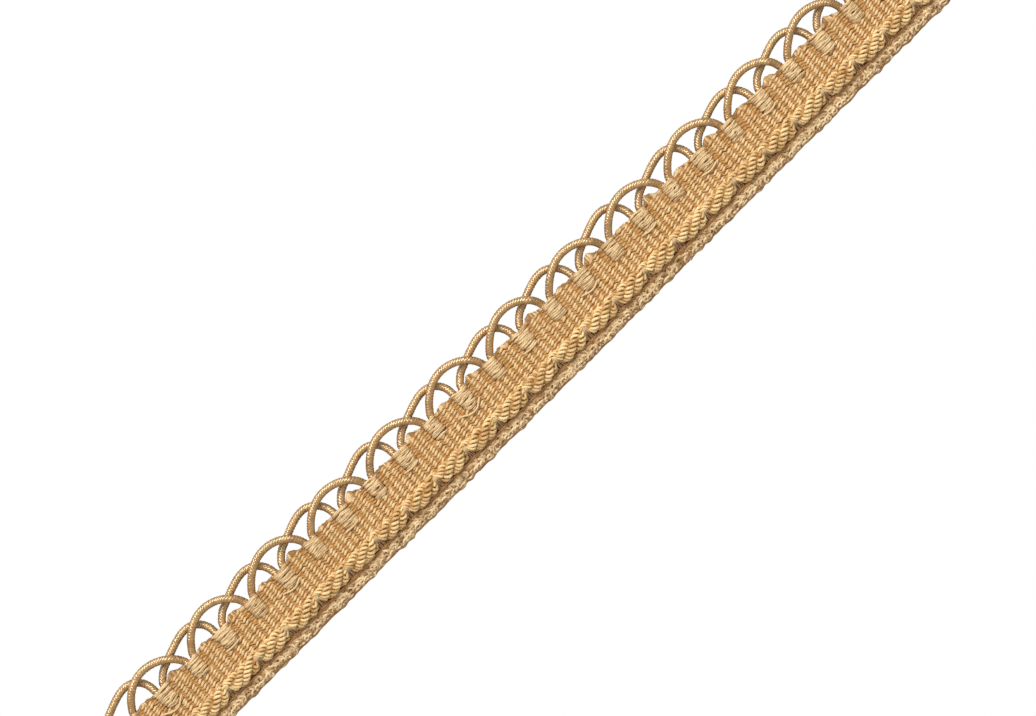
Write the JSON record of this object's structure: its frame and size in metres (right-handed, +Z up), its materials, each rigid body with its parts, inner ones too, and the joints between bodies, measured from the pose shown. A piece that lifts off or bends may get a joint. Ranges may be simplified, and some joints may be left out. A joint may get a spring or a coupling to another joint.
{
  "type": "scalloped cord trim",
  "caption": "Woven furnishing trim with a ribbed heading, gimp cords laid in overlapping arches along one edge, a twisted rope tied down in puffs, and a narrow sewing lip.",
  "frame": {"origin": "on the surface that the trim lies on, under the middle of its length and width", "axes": "+X along the trim, +Y towards the scalloped edge, +Z up out of its face"},
  "size_m": [0.294, 0.0259, 0.0045],
  "materials": {
    "ground_yarn": "matt golden-brown twisted yarn, woven in ribs",
    "gimp_wrap": "fine light-brown yarn wound closely round a core, slight sheen",
    "binding_yarn": "cream twisted yarn in parallel floats, slight sheen",
    "rope_yarn": "golden-cream twisted yarn with a soft sheen"
  },
  "bodies": {
    "root": {"ground": "ground_yarn", "gimp_back": "gimp_wrap", "gimp_front": "gimp_wrap", "rope": "rope_yarn", "binding_01": "binding_yarn", "binding_02": "binding_yarn", "binding_03": "binding_yarn", "binding_04": "binding_yarn", "binding_05": "binding_yarn", "binding_06": "binding_yarn", "binding_07": "binding_yarn", "binding_08": "binding_yarn", "binding_09": "binding_yarn", "binding_10": "binding_yarn", "binding_11": "binding_yarn", "binding_12": "binding_yarn", "binding_13": "binding_yarn", "binding_14": "binding_yarn", "binding_15": "binding_yarn", "binding_16": "binding_yarn", "binding_17": "binding_yarn", "binding_18": "binding_yarn", "binding_19": "binding_yarn", "binding_20": "binding_yarn", "binding_21": "binding_yarn", "binding_22": "binding_yarn", "binding_23": "binding_yarn", "binding_24": "binding_yarn", "binding_25": "binding_yarn", "binding_26": "binding_yarn", "binding_27": "binding_yarn", "binding_28": "binding_yarn"}
  },
  "joints": []
}
